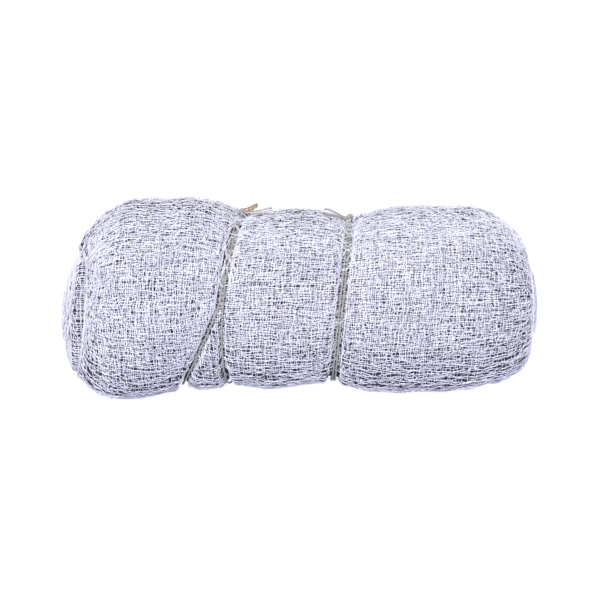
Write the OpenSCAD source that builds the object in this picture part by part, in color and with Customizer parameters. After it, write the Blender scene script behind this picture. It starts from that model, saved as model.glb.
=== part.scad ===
// A tennis net put away. Its netting is folded in a concertina to a strip about half
// a metre wide, rolled up from the head band and tied twice with doubled twine, so
// that the bundle swells in three lobes. X runs along the bundle, -Y is the front,
// and Z = 0 is the floor under the two outer lobes.

/* [Bundle] */
// Length over the bulging ends of the inner turns
bundle_len = 535; // [520:1:600]
// Length of the outer turn from rim to rim
outer_len = 500; // [470:1:510]
// Half height of the left lobe
left_half = 109; // [102:0.5:116]
// Half height of the middle lobe
middle_half = 98; // [92:0.5:104]
// Half height of the right lobe
right_half = 102.5; // [98:0.5:112]
// Clear height under the middle lobe
middle_lift = 8; // [4:0.5:14]
// Depth of the bundle for a height of 1
depth_ratio = 1.1; // [1:0.01:1.2]
// Power of the curve of the underside, where 2 is an ellipse
sag_power = 2.5; // [2.2:0.1:3]
// Depth of the flat that the weight presses into the lobes
rest_flat = 0.5; // [0.3:0.1:1]
// Height of the step where the strip ends, down the back of the bundle
lap_step = 5; // [2:0.5:8]

/* [Inner turns] */
// Radius of the inner turns
inner_r = 65; // [60:0.5:70]
// Length of the bulge at each end of the inner turns
inner_dome = 42; // [30:1:50]
// Power of the curve of that bulge, where 2 is an ellipse
dome_power = 3; // [1.6:0.1:3.6]
// Thickness of the outer turn between the inner turns and the floor
under_wall = 29; // [24:0.5:34]
// Sliding clearance between the inner turns and the outer turn
turn_gap = 0.4; // [0.3:0.1:0.8]
// Width of the rim round the bore of the outer turn
rim_face = 6; // [4:0.5:8]
// Length over which the outer turn rounds off to its left rim
left_shoulder = 58; // [40:1:66]
// Length over which the outer turn rounds off to its right rim
right_shoulder = 58; // [40:1:66]
// How far the left rim leans in at its top
left_rake = 8; // [0:1:20]
// Power of the curve of both shoulders, where 2 is an ellipse
shoulder_power = 1.6; // [1.5:0.05:2.2]

/* [Ties] */
// Thickness of the twine
twine_d = 2.5; // [2:0.1:3.5]
// Depth of the waists below the middle lobe
waist_depth = 8; // [6:0.5:12]
// How much lower the top of the right waist lies than that of the left one
right_drop = 8; // [0:0.5:10]
// Length over which a lobe rounds off to a waist
waist_reach = 47; // [40:1:60]
// Power of the curve between a lobe and a waist, where 2 is an ellipse
waist_power = 1.7; // [1.5:0.1:3]
// Clearance between two strands of a tie
strand_gap = 0.6; // [0.5:0.1:1.2]
// Clearance between the twine and what it lies on
twine_gap = 0.3; // [0.2:0.05:0.5]
// Clear floor of a waist beside its outer strands
waist_margin = 1.3; // [1:0.1:2.5]
// Mean place of the left tie along the bundle
left_tie_x = -67; // [-90:1:-50]
// Lean of the left tie to the right at its top
left_lean = 5; // [0:0.5:12]
// Skew of the left tie to the left at its front
left_skew = 22; // [0:0.5:26]
// How far the left tie's outer strand strays from the other below the front
strand_stray = 52; // [20:1:60]
// Height of the swell between the two strands of the left tie
stray_swell = 10; // [4:0.5:12]
// Mean place of the right tie along the bundle
right_tie_x = 47; // [36:1:70]
// Lean of the right tie to the right at its top
right_lean = 9; // [0:0.5:12]
// Skew of the right tie to the left at its front
right_skew = 12; // [0:0.5:20]

/* [Knots] */
// Number of turns that show on a knot
knot_wraps = 3; // [2:1:4]
// Clearance between two turns of a knot
knot_gap = 0.1; // [0.05:0.05:0.3]
// Radius of the knot's heart, inside its turns
knot_heart_r = 2.6; // [2.3:0.1:3]
// Length of the heart past its outer turns
knot_end = 1; // [0.6:0.1:2]

/* [Head band] */
// Length of the band that heads the net
band_len = 12800; // [12000:100:13000]
// Width of the band, folded over the head cord
band_w = 51; // [48:0.5:54]
// Thickness of the folded band
band_t = 2; // [1.6:0.1:2.2]
// Gap between two folds of the band
band_gap = 0.6; // [0.5:0.1:0.8]

/* [Head cord] */
// Thickness of the head cord
cord_d = 4; // [3:0.1:4.5]
// Gap between the turns of the hank that the head cord is wound in
cord_gap = 0.6; // [0.5:0.1:1]
// Number of turns in the hank
cord_loops = 15; // [9:1:16]
// Number of turns that lie side by side in one layer
layer_loops = 4; // [3:1:4]
// Radius of the hank's smallest bends
cord_bend_r = 10; // [9:0.5:12]
// Clearance round the band and the hank in the middle of the inner turns
core_gap = 0.5; // [0.3:0.1:1]
// Thickness of the netting past the band and the hank at each end
core_wall = 32; // [30:1:60]

/* [Hidden] */

netting = [0.90, 0.91, 0.95];
canvas = [0.94, 0.94, 0.92];
cord = [0.86, 0.86, 0.84];
twine = [0.64, 0.60, 0.51];

// Places and sizes that follow from the driving ones
bore_r = inner_r + turn_gap;
inner_axis = under_wall + bore_r;
left_axis = left_half - rest_flat;
right_axis = right_half - rest_flat;
middle_axis = middle_half + middle_lift;
waist_half = middle_half - waist_depth;
strand_step = twine_d + strand_gap;
lane_edge = twine_d / 2 + waist_margin;
right_waist_half = waist_half - right_drop / 2;
right_waist_axis = middle_axis - right_drop / 2;

wrap_step = twine_d + knot_gap;
wrap_r = knot_heart_r - knot_gap * 2;
knot_r = wrap_r + twine_d / 2;
knot_half_len = (knot_wraps * wrap_step) / 2 + knot_end;
knot_seat = twine_d + 2 * twine_gap + knot_r;

core_half_x = bundle_len / 2 - core_wall;
band_step = band_t + band_gap;
band_run = 2 * (core_half_x - core_gap) - band_step - band_t;
band_folds = ceil(band_len / (band_run + band_step * PI / 2));
cord_step = cord_d + cord_gap;
cord_layers = ceil(cord_loops / layer_loops);
hank_t = (cord_layers - 1) * cord_step + cord_d;
hank_half = cord_bend_r + layer_loops * cord_step + cord_d / 2;
cord_run = 2 * (core_half_x - core_gap - hank_half);
core_y = band_w + hank_t + 3 * core_gap;
core_half_z = max(band_folds * band_step / 2, hank_half) + core_gap;
band_y = -core_y / 2 + core_gap;
hank_y = core_y / 2 - core_gap - hank_t + cord_d / 2;

// Corners of one ring round the bundle, and rings along one lobe
ring_sides = 32;
lobe_rings = 9;
// Corners of a wound tube, rings on one of the hank's bends, corners of a free end
wound_sides = 6;
bend_rings = 12;
tail_sides = 8;
// Angle of the knots round the bundle: 0 is the front and 90 the top
knot_angle = 90;
// Middle and half width of the stretch where the left tie's outer strand strays
stray_middle = -84;
stray_half = 100;
// Angle of the step where the strip ends, and the stretch over which it rises
lap_angle = 213.75;
lap_reach = 45;

// Free ends of the twine, from inside their knots onto the middle lobe
left_front_route = [
  [-62, -1.5, 202.8], [-55, -2.5, 202.1], [-48, -4.5, 202.2], [-41, -8, 203],
  [-35, -12.5, 203.4], [-31, -16.5, 203.4]
];
left_back_route = [
  [-62, 1.5, 202.8], [-55, 2.5, 202.1], [-48, 5, 201.9], [-42, 9, 202.4],
  [-37, 14, 202.5], [-33, 20, 202.2], [-30.5, 26, 201]
];
right_front_route = [
  [54.5, -1.5, 194.8], [49, -2.5, 194.6], [43, -5, 196.8], [37, -8.5, 199],
  [31, -12, 200.4], [26.5, -14.5, 201]
];
right_back_route = [
  [54.5, 1.5, 194.8], [49, 2.5, 194.8], [44, 6, 196.9], [39, 11.5, 198.9],
  [35, 18, 199.7], [32, 25, 199.2], [30.5, 30, 198.2]
];

// Rise of a rounded shoulder, from 0 where it starts to 1 at its end
function shoulder(u, p) = 1 - pow(1 - pow(u, p), 1 / p);

// An angle brought between -180 and 180
function half_turn(a) = a - 360 * floor((a + 180) / 360);

function unit(v) = v / norm(v);

// Place of each strand along the bundle at an angle round it
function left_inner_x(a) = left_tie_x + left_lean * sin(a) - left_skew * cos(a);

function stray(a) =
  let (v = abs(half_turn(a - stray_middle)) / stray_half)
  v < 1 ? pow(cos(90 * v), 1.5) : 0;

function left_outer_x(a) = left_inner_x(a) - strand_step - strand_stray * stray(a);

function right_mid_x(a) = right_tie_x + right_lean * sin(a) - right_skew * cos(a);

// Height that the end of the strip adds at an angle round the bundle
function lap(a) =
  let (d = half_turn(lap_angle - a) / lap_reach)
  d >= 0 && d < 1 ? lap_step * (1 - d) : 0;

// A point on the bundle's skin, for [x, half height, height of the axis]
function skin(q, a) =
  let (
    p = sin(a) < 0 ? sag_power : 2,
    k = pow(pow(abs(cos(a)), p) + pow(abs(sin(a)), p), -1 / p),
    r = (q[1] + lap(a)) * k
  )
  [q[0], -depth_ratio * r * cos(a), q[2] + r * sin(a)];

// Rings of one lobe. Its ends are [x, half height, axis, reach, power]
function lobe(e0, e1, top_half, top_axis) = [
  for (i = [0:lobe_rings - 1])
    let (
      s = (1 - cos(180 * i / (lobe_rings - 1))) / 2,
      len = e1[0] - e0[0],
      f0 = shoulder(max(0, 1 - s * len / min(e0[3], len * 0.48)), e0[4]),
      f1 = shoulder(max(0, 1 - (1 - s) * len / min(e1[3], len * 0.48)), e1[4])
    )
    [
      e0[0] + len * s,
      top_half - (top_half - e0[1]) * f0 - (top_half - e1[1]) * f1,
      top_axis - (top_axis - e0[2]) * f0 - (top_axis - e1[2]) * f1
    ]
];

function rim(x, reach) = [x, bore_r + rim_face, inner_axis, reach, shoulder_power];

function waist(x, half, axis) = [x, half, axis, waist_reach, waist_power];

// Place of the left rim along the bundle at an angle round it: the rim is flat, and leans
function left_rim_x(a) =
  let (
    half = bore_r + rim_face,
    height = (skin([0, half, inner_axis], a)[2] - inner_axis) / half
  )
  left_rake * (1 + height) / 2 - outer_len / 2;

// The floor between the left tie's two strands, which swells where they part
function parting(a) =
  let (
    x0 = left_outer_x(a),
    x1 = left_inner_x(a),
    floor_w = min(lane_edge, (x1 - x0) / 3),
    swell = 4 * stray_swell * stray(a)
  )
  [
    for (s = [0:0.25:1])
      [
        x0 + floor_w + (x1 - x0 - 2 * floor_w) * s,
        waist_half + swell * s * (1 - s),
        middle_axis
      ]
  ];

// All rings of the outer turn at one angle, from the left rim to the right one
function outer_rows(a) = concat(
  lobe(
    rim(left_rim_x(a), left_shoulder),
    waist(left_outer_x(a) - lane_edge, waist_half, middle_axis),
    left_half, left_axis
  ),
  parting(a),
  lobe(
    waist(left_inner_x(a) + lane_edge, waist_half, middle_axis),
    waist(right_mid_x(a) - strand_step / 2 - lane_edge, right_waist_half, right_waist_axis),
    middle_half, middle_axis
  ),
  lobe(
    waist(right_mid_x(a) + strand_step / 2 + lane_edge, right_waist_half, right_waist_axis),
    rim(outer_len / 2, right_shoulder),
    right_half, right_axis
  )
);

// A closed skin through a grid of points: rows along, columns round
module skin_solid(columns) {
  n = len(columns);
  rows = len(columns[0]);
  points = [for (c = columns) each c];
  walls = [
    for (j = [0:n - 1], i = [0:rows - 2])
      let (
        a = j * rows + i,
        b = ((j + 1) % n) * rows + i
      )
      each [[a, b + 1, a + 1], [a, b, b + 1]]
  ];
  first = [for (j = [n - 1:-1:0]) j * rows];
  last = [for (j = [0:n - 1]) j * rows + rows - 1];
  polyhedron(points, concat(walls, [first, last]), convexity = 6);
}

// A round tube swept along a route, square to it at every point
module tube(route, d, sides, reference) {
  n = len(route);
  columns = [
    for (k = [0:sides - 1])
      [
        for (i = [0:n - 1])
          let (
            t = unit(route[min(i + 1, n - 1)] - route[max(i - 1, 0)]),
            u = unit(cross(reference, t)),
            v = cross(t, u),
            a = -360 * k / sides
          )
          route[i] + d / 2 * (cos(a) * u + sin(a) * v)
      ]
  ];
  skin_solid(columns);
}

// Least gap between two lengths of one tube, measured between its points
function least_gap(route, d, apart) = min([
  for (i = [0:len(route) - 1 - apart], j = [i + apart:len(route) - 1])
    norm(route[i] - route[j])
]) - d;

// Place of a tie's strand, counted in ring steps from the knot over the back
function left_lane(k, a) =
  let (s = max(0, min(1, (k - ring_sides + 2) / 4)))
  left_inner_x(a) * (1 - s) + left_outer_x(a) * s;

function right_lane(k, a) =
  let (s = max(0, min(1, (k - ring_sides + 2) / 4)))
  right_mid_x(a) + strand_step * (0.5 - s);

// One tie round a waist: out of the knot over the back, twice round, and up the front to
// the knot
function tie_route(knot_x, lanes, half, axis) =
  let (
    turns = 2 * ring_sides,
    high = axis + half + knot_seat,
    twine_half = half + twine_gap + twine_d / 2,
    lift = (half + knot_seat - twine_half) * 0.45,
    out = [0, knot_half_len, 0],
    straight = [0, twine_d, 0]
  )
  concat(
    [[knot_x, 0, high] + out, [knot_x, 0, high] + out + straight],
    [
      for (k = [1:turns - 1])
        let (
          a = knot_angle + 360 * k / ring_sides,
          up = k == 1 || k == turns - 1 ? lift : 0
        )
        skin([lanes[k - 1], twine_half + up, axis], a)
    ],
    [[knot_x, 0, high] - out - straight, [knot_x, 0, high] - out]
  );

left_knot_x = left_inner_x(knot_angle) - strand_step / 2;
right_knot_x = right_mid_x(knot_angle);

left_lanes = [
  for (k = [1:2 * ring_sides - 1]) left_lane(k, knot_angle + 360 * k / ring_sides)
];
right_lanes = [
  for (k = [1:2 * ring_sides - 1]) right_lane(k, knot_angle + 360 * k / ring_sides)
];
left_route = tie_route(left_knot_x, left_lanes, waist_half, middle_axis);
right_route = tie_route(right_knot_x, right_lanes, right_waist_half, right_waist_axis);

// The hank of head cord: its turns grow to the edge of a layer and shrink in the next,
// and the cord climbs a layer along a straight run
hank_route = [
  for (i = [0:cord_loops * 2 * bend_rings - 1])
    let (
      turn = (i + 0.5) / (2 * bend_rings),
      layer = floor(turn / layer_loops),
      part = turn - layer * layer_loops,
      grown = layer % 2 == 0 ? part : layer_loops - part,
      r = cord_bend_r + cord_step * grown,
      a = 360 * turn + 90
    )
    [
      sign(cos(a)) * cord_run / 2 + r * cos(a),
      hank_y + layer * cord_step,
      inner_axis + r * sin(a)
    ]
];

echo(left_tie_least_gap = least_gap(left_route, twine_d, 6));
echo(right_tie_least_gap = least_gap(right_route, twine_d, 6));
echo(head_cord_least_gap = least_gap(hank_route, cord_d, bend_rings));

// One edge of the folded band, at an offset from the middle of its thickness
function band_edge(offset) =
  let (
    z0 = -(band_folds - 1) * band_step / 2,
    end = band_folds % 2 == 1 ? 1 : -1
  )
  concat(
    [[-band_run / 2, z0 + offset]],
    [
      for (i = [0:band_folds - 2], k = [0:4])
        let (
          side = i % 2 == 0 ? 1 : -1,
          r = band_step / 2 - side * offset,
          a = -90 + 45 * k
        )
        [side * (band_run / 2 + r * cos(a)), z0 + band_step * (i + 0.5) + r * sin(a)]
    ],
    [[end * band_run / 2, -z0 + end * offset]]
  );

// Outer turn of the rolled netting, drawn in by the ties and flat where it rests
module outer_turn() {
  reach = bundle_len;
  color(netting)
    difference() {
      skin_solid([
        for (j = [0:ring_sides - 1])
          let (a = 360 * j / ring_sides)
          [for (q = outer_rows(a)) skin(q, a)]
      ]);
      translate([-reach, 0, inner_axis])
        rotate([0, 90, 0])
          cylinder(h = 2 * reach, r = bore_r, $fn = 96);
      translate([-reach, -reach, -2 * reach])
        cube(2 * reach);
    }
}

// Inner turns of the roll, wound round the head band, bulging at both ends
module inner_turn() {
  steps = 8;
  half = bundle_len / 2;
  dome = [
    for (i = [0:steps])
      let (u = sin(90 * i / steps))
      [inner_r * pow(1 - pow(u, dome_power), 1 / dome_power), half - inner_dome * (1 - u)]
  ];
  color(netting)
    difference() {
      translate([0, 0, inner_axis])
        rotate([0, 90, 0])
          rotate_extrude($fn = 96)
            polygon(concat(
              dome,
              [for (i = [steps:-1:0]) [dome[i][0], -dome[i][1]]]
            ));
      translate([0, 0, inner_axis])
        cube([2 * core_half_x, core_y, 2 * core_half_z], center = true);
    }
}

// Canvas band along the head of the net, folded with the netting
module head_band() {
  color(canvas)
    translate([0, band_y + band_w, inner_axis])
      rotate([90, 0, 0])
        linear_extrude(height = band_w)
          polygon(concat(
            band_edge(-band_t / 2),
            [for (e = [band_edge(band_t / 2)], i = [len(e) - 1:-1:0]) e[i]]
          ));
}

// Head cord, wound in a hank beside the band
module head_cord() {
  color(cord)
    tube(hank_route, cord_d, wound_sides, [0, 1, 0]);
}

// A barrel of twine turns that the tie's two ends run into
module knot(x, waist_top) {
  color(twine)
    translate([x, 0, waist_top + knot_seat])
      rotate([90, 0, 0])
        rotate_extrude($fn = 48)
          union() {
            translate([0, -knot_half_len])
              square([knot_heart_r, 2 * knot_half_len]);
            for (i = [0:knot_wraps - 1])
              translate([wrap_r, (i - (knot_wraps - 1) / 2) * wrap_step])
                circle(d = twine_d, $fn = 24);
          }
}

module left_tie() {
  color(twine)
    tube(left_route, twine_d, wound_sides, [1, 0, 0]);
}

module right_tie() {
  color(twine)
    tube(right_route, twine_d, wound_sides, [1, 0, 0]);
}

module left_knot() {
  knot(left_knot_x, middle_axis + waist_half);
}

module right_knot() {
  knot(right_knot_x, right_waist_axis + right_waist_half);
}

module left_tail_front() {
  color(twine)
    tube(left_front_route, twine_d, tail_sides, [0, 0, 1]);
}

module left_tail_back() {
  color(twine)
    tube(left_back_route, twine_d, tail_sides, [0, 0, 1]);
}

module right_tail_front() {
  color(twine)
    tube(right_front_route, twine_d, tail_sides, [0, 0, 1]);
}

module right_tail_back() {
  color(twine)
    tube(right_back_route, twine_d, tail_sides, [0, 0, 1]);
}

outer_turn();
inner_turn();
head_band();
head_cord();
left_tie();
left_knot();
left_tail_front();
left_tail_back();
right_tie();
right_knot();
right_tail_front();
right_tail_back();
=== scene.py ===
import math

import bmesh
import bpy
import numpy as np
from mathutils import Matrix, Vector, noise
from mathutils.bvhtree import BVHTree
from mathutils.kdtree import KDTree


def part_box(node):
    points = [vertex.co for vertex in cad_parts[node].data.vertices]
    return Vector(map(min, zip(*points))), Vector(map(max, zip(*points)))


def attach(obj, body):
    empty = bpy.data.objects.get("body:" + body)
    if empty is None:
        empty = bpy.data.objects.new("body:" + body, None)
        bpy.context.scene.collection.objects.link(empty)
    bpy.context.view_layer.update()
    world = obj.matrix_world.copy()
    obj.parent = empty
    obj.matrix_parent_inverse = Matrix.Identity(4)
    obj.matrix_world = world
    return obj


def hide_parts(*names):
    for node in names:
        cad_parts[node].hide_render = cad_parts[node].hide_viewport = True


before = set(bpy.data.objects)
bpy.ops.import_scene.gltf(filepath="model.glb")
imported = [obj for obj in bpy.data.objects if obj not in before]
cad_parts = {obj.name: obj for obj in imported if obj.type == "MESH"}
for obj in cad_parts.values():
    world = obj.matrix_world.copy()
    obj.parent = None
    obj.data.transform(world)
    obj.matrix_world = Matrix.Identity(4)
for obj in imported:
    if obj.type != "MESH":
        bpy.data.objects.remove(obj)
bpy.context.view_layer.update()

bpy.ops.object.select_all(action="DESELECT")

# Camera: the photograph is taken from about a metre and a half away, a little above
# the bundle and a little to its left, with the bundle across the whole picture.
view_turn = math.radians(-4)
view_rise = math.radians(15)
view_distance = 1.5
view_target = Vector((0, 0, 0.1006))
view_back = Vector((
    math.sin(view_turn) * math.cos(view_rise),
    -math.cos(view_turn) * math.cos(view_rise),
    math.sin(view_rise),
))
bpy.ops.object.camera_add(location=view_target + view_back * view_distance)
camera = bpy.context.object
camera.rotation_euler = (-view_back).to_track_quat("-Z", "Y").to_euler()
camera.data.lens = 80
camera.data.sensor_width = 36
bpy.context.scene.camera = camera


# Free ends of the twine: each tie's knot leaves two short ends lying on the middle lobe.
# They are two-ply jute like the ties, bleached on the left and browner on the right, and
# the cut ends are frayed.
def srgb(code):
    """Linear red, green, blue and alpha of an sRGB hex colour."""
    parts = [int(code[i:i + 2], 16) / 255 for i in (1, 3, 5)]
    return (*[c / 12.92 if c <= 0.04045 else ((c + 0.055) / 1.055) ** 2.4 for c in parts], 1)


def add_node(owner, kind, settings, inputs):
    """A shader node with its settings, in a material or a world. An input takes a value, or an
    output to link from."""
    node = owner.node_tree.nodes.new(kind)
    for name, value in settings.items():
        setattr(node, name, value)
    for name, value in inputs.items():
        if isinstance(value, bpy.types.NodeSocket):
            owner.node_tree.links.new(value, node.inputs[name])
        else:
            node.inputs[name].default_value = value
    return node


def bare_material(name):
    """A new material with its Principled shader."""
    material = bpy.data.materials.new(name)
    material.use_nodes = True
    return material, material.node_tree.nodes["Principled BSDF"]


def link(owner, output, shader, name):
    """Feeds an output to an input of a shader."""
    owner.node_tree.links.new(output, shader.inputs[name])


def twine_material(name, pale, dark):
    """Two-ply jute: fibres run along each ply, and the colour changes from fibre to fibre."""
    material, shader = bare_material(name)
    fibres_per_metre = 3500
    streaks_per_metre = 160
    along = add_node(material, "ShaderNodeUVMap", {"uv_map": "lay"}, {})
    stretched = add_node(material, "ShaderNodeMapping", {}, {
        "Vector": along.outputs["UV"],
        "Scale": (streaks_per_metre, fibres_per_metre, 1),
    })
    fibres = add_node(material, "ShaderNodeTexNoise", {}, {
        "Vector": stretched.outputs["Vector"], "Scale": 1, "Detail": 3, "Roughness": 0.6,
    })
    spread = add_node(material, "ShaderNodeMapRange", {}, {
        "Value": fibres.outputs["Fac"], "From Min": 0.3, "From Max": 0.7,
    })
    colour = add_node(material, "ShaderNodeMix", {"data_type": "RGBA"}, {
        0: spread.outputs["Result"], 6: srgb(dark), 7: srgb(pale),
    })
    bump = add_node(material, "ShaderNodeBump", {}, {
        "Height": fibres.outputs["Fac"], "Strength": 0.5, "Distance": 0.0002,
    })
    link(material, colour.outputs[2], shader, "Base Color")
    link(material, bump.outputs["Normal"], shader, "Normal")
    shader.inputs["Roughness"].default_value = 0.8
    shader.inputs["Sheen Weight"].default_value = 0.15
    return material


def length_along(points):
    """How far along a route each of its points lies."""
    return np.append(0, np.cumsum(np.linalg.norm(np.diff(points, axis=0), axis=1)))


def smooth_route(points, step):
    """Points a step apart on one smooth curve through a route."""
    parts_of_run = 16
    p = np.array(points, float)
    p = np.vstack([2 * p[0] - p[1], p, 2 * p[-1] - p[-2]])
    t = np.linspace(0, 1, parts_of_run, endpoint=False)[:, None]
    runs = [
        b + 0.5 * ((c - a) * t + (2 * a - 5 * b + 4 * c - d) * t ** 2
                   + (3 * b - a - 3 * c + d) * t ** 3)
        for a, b, c, d in zip(p[:-3], p[1:-2], p[2:-1], p[3:])
    ]
    fine = np.vstack(runs + [p[-2:-1]])
    length = length_along(fine)
    at = np.linspace(0, length[-1], max(2, round(length[-1] / step) + 1))
    return np.column_stack([np.interp(at, length, fine[:, k]) for k in range(3)])


def sides_along(route):
    """Two directions square to a route at each point, turning as little as they can."""
    tangent = np.gradient(route, axis=0)
    tangent /= np.linalg.norm(tangent, axis=1)[:, None]
    side = np.empty_like(route)
    not_along = (0.3, 0.2, 1)
    current = np.cross(tangent[0], not_along)
    for i, t in enumerate(tangent):
        current = current - t * current.dot(t)
        current /= np.linalg.norm(current)
        side[i] = current
    return side, np.cross(tangent, side)


def add_tube(parts, middle, side, up, radius, sides=6):
    """Adds one closed tube round a middle line to (corners, faces, places along and round)."""
    corners, faces, lay = parts
    first = sum(len(c) for c in corners)
    turn = 2 * math.pi * np.arange(sides) / sides
    radius = np.broadcast_to(radius, len(middle))[:, None, None]
    ring = np.cos(turn)[:, None] * side[:, None] + np.sin(turn)[:, None] * up[:, None]
    corners.append((middle[:, None] + radius * ring).reshape(-1, 3))
    length = length_along(middle)
    girth = 2 * math.pi * float(radius.mean())
    for i in range(len(middle) - 1):
        for k in range(sides):
            a, b = first + i * sides + k, first + i * sides + (k + 1) % sides
            faces.append((a, b, b + sides, a + sides))
            low, high = girth * k / sides, girth * (k + 1) / sides
            here, there = length[i], length[i + 1]
            lay += [(here, low), (here, high), (there, high), (there, low)]
    last = first + (len(middle) - 1) * sides
    faces.append(tuple(range(first + sides - 1, first - 1, -1)))
    faces.append(tuple(range(last, last + sides)))
    lay += [(0, girth * k / sides) for k in range(sides)]
    lay += [(length[-1], girth * k / sides) for k in range(sides)]


def add_twine(parts, route, diameter, plies=2):
    """Adds a twine along a route: its plies are laid round each other."""
    lay_length = 3.4 * diameter
    ply_offset, ply_r = 0.24 * diameter, 0.28 * diameter
    side, up = sides_along(route)
    for ply in range(plies):
        turn = 2 * math.pi * (length_along(route) / lay_length + ply / plies)[:, None]
        away = np.cos(turn) * side + np.sin(turn) * up
        middle = route + ply_offset * away
        ply_side, ply_up = sides_along(middle)
        add_tube(parts, middle, ply_side, ply_up, ply_r)


def tube_piece(name, parts, material, body):
    """One piece from tubes, smooth all over, with its map of places along and round."""
    corners, faces, lay = parts
    mesh = bpy.data.meshes.new(name)
    mesh.from_pydata(np.vstack(corners).tolist(), [], faces)
    mesh.uv_layers.new(name="lay").uv.foreach_set("vector", np.array(lay, np.float32).ravel())
    mesh.polygons.foreach_set("use_smooth", np.ones(len(mesh.polygons), bool))
    mesh.materials.append(material)
    piece = bpy.data.objects.new(name, mesh)
    bpy.context.scene.collection.objects.link(piece)
    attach(piece, body)
    return piece


def add_fray(parts, end, direction, diameter, seed):
    """Adds the loose fibres of a cut end."""
    rng = np.random.default_rng(seed)
    fibres, spread, root_spread = 9, 0.45, 0.15 * diameter
    fibre_length, fibre_step = 0.0024, 0.0006
    root_r, tip_r = 0.00022, 0.00008
    droop = np.array((0, 0, -0.0006))
    for _ in range(fibres):
        away = direction + rng.normal(0, spread, 3)
        away /= np.linalg.norm(away)
        start = end + rng.normal(0, root_spread, 3) - direction * fibre_step
        middle = start + away * fibre_length / 2
        route = smooth_route([start, middle, start + away * fibre_length + droop], fibre_step)
        side, up = sides_along(route)
        add_tube(parts, route, side, up, np.linspace(root_r, tip_r, len(route)), sides=4)


twine_d = 0.0025
twine_step = 0.0008
tail_jute = {
    "left": twine_material("pale_jute_twine", "#CDC5C2", "#938A87"),
    "right": twine_material("brown_jute_twine", "#ADA6A4", "#6C6563"),
}
tail_routes = {
    "left_tail_front": [
        (-0.062, -0.0015, 0.2028), (-0.055, -0.0025, 0.2021), (-0.048, -0.0045, 0.2022),
        (-0.041, -0.008, 0.203), (-0.035, -0.0125, 0.2034), (-0.031, -0.0165, 0.2034),
    ],
    "left_tail_back": [
        (-0.062, 0.0015, 0.2028), (-0.055, 0.0025, 0.2021), (-0.048, 0.005, 0.2019),
        (-0.042, 0.009, 0.2024), (-0.037, 0.014, 0.2025), (-0.033, 0.020, 0.2022),
        (-0.0305, 0.026, 0.201),
    ],
    "right_tail_front": [
        (0.0545, -0.0015, 0.1948), (0.049, -0.0025, 0.1946), (0.043, -0.005, 0.1968),
        (0.037, -0.0085, 0.199), (0.031, -0.012, 0.2004), (0.0265, -0.0145, 0.201),
    ],
    "right_tail_back": [
        (0.0545, 0.0015, 0.1948), (0.049, 0.0025, 0.1948), (0.044, 0.006, 0.1969),
        (0.039, 0.0115, 0.1989), (0.035, 0.018, 0.1997), (0.032, 0.025, 0.1992),
        (0.0305, 0.030, 0.1982),
    ],
}
for tail_seed, (tail_name, tail_points) in enumerate(tail_routes.items()):
    tail_route = smooth_route(tail_points, twine_step)
    tail_parts = ([], [], [])
    add_twine(tail_parts, tail_route, twine_d)
    tail_way = tail_route[-1] - tail_route[-3]
    add_fray(tail_parts, tail_route[-1], tail_way / np.linalg.norm(tail_way), twine_d, tail_seed)
    jute = tail_jute[tail_name.split("_")[0]]
    tail = tube_piece(tail_name + "_end", tail_parts, jute, "outer")
    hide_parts(tail_name)


# Ties: two lengths of weathered grey-beige jute twine, each wound twice round the roll
# and pulled tight. The left one's second turn has slipped sideways under the bundle.
def tube_route(node, start, sides):
    """Middle of each ring of a wound tube, in order from its end at start."""
    shell = bmesh.new()
    shell.from_mesh(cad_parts[node].data)
    bmesh.ops.remove_doubles(shell, verts=shell.verts, dist=1e-6)
    ring = sorted(shell.verts, key=lambda v: (v.co - start).length)[:sides]
    seen = set(ring)
    route = []
    while ring:
        route.append(sum((v.co for v in ring), Vector()) / len(ring))
        ring = {e.other_vert(v) for v in ring for e in v.link_edges} - seen
        seen |= ring
    shell.free()
    return np.array([tuple(p) for p in route])


grey_jute = twine_material("weathered_jute_twine", "#B2B0A6", "#5C5A52")
tight_twine_d = 0.0021
tie_step = 0.0012
wound_sides = 6
tie_routes = {}
knot_places = {}
for tie_side in ("left", "right"):
    knot_low, knot_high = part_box(tie_side + "_knot")
    knot_places[tie_side] = (knot_low + knot_high) / 2
    tie_start = knot_places[tie_side] + Vector((0, (knot_high.y - knot_low.y) / 2, 0))
    tie_routes[tie_side] = tube_route(tie_side + "_tie", tie_start, wound_sides)
    tie_parts = ([], [], [])
    add_twine(tie_parts, smooth_route(tie_routes[tie_side], tie_step), tight_twine_d)
    tie = tube_piece(tie_side + "_tie_twine", tie_parts, grey_jute, "outer")
    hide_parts(tie_side + "_tie")


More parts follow.
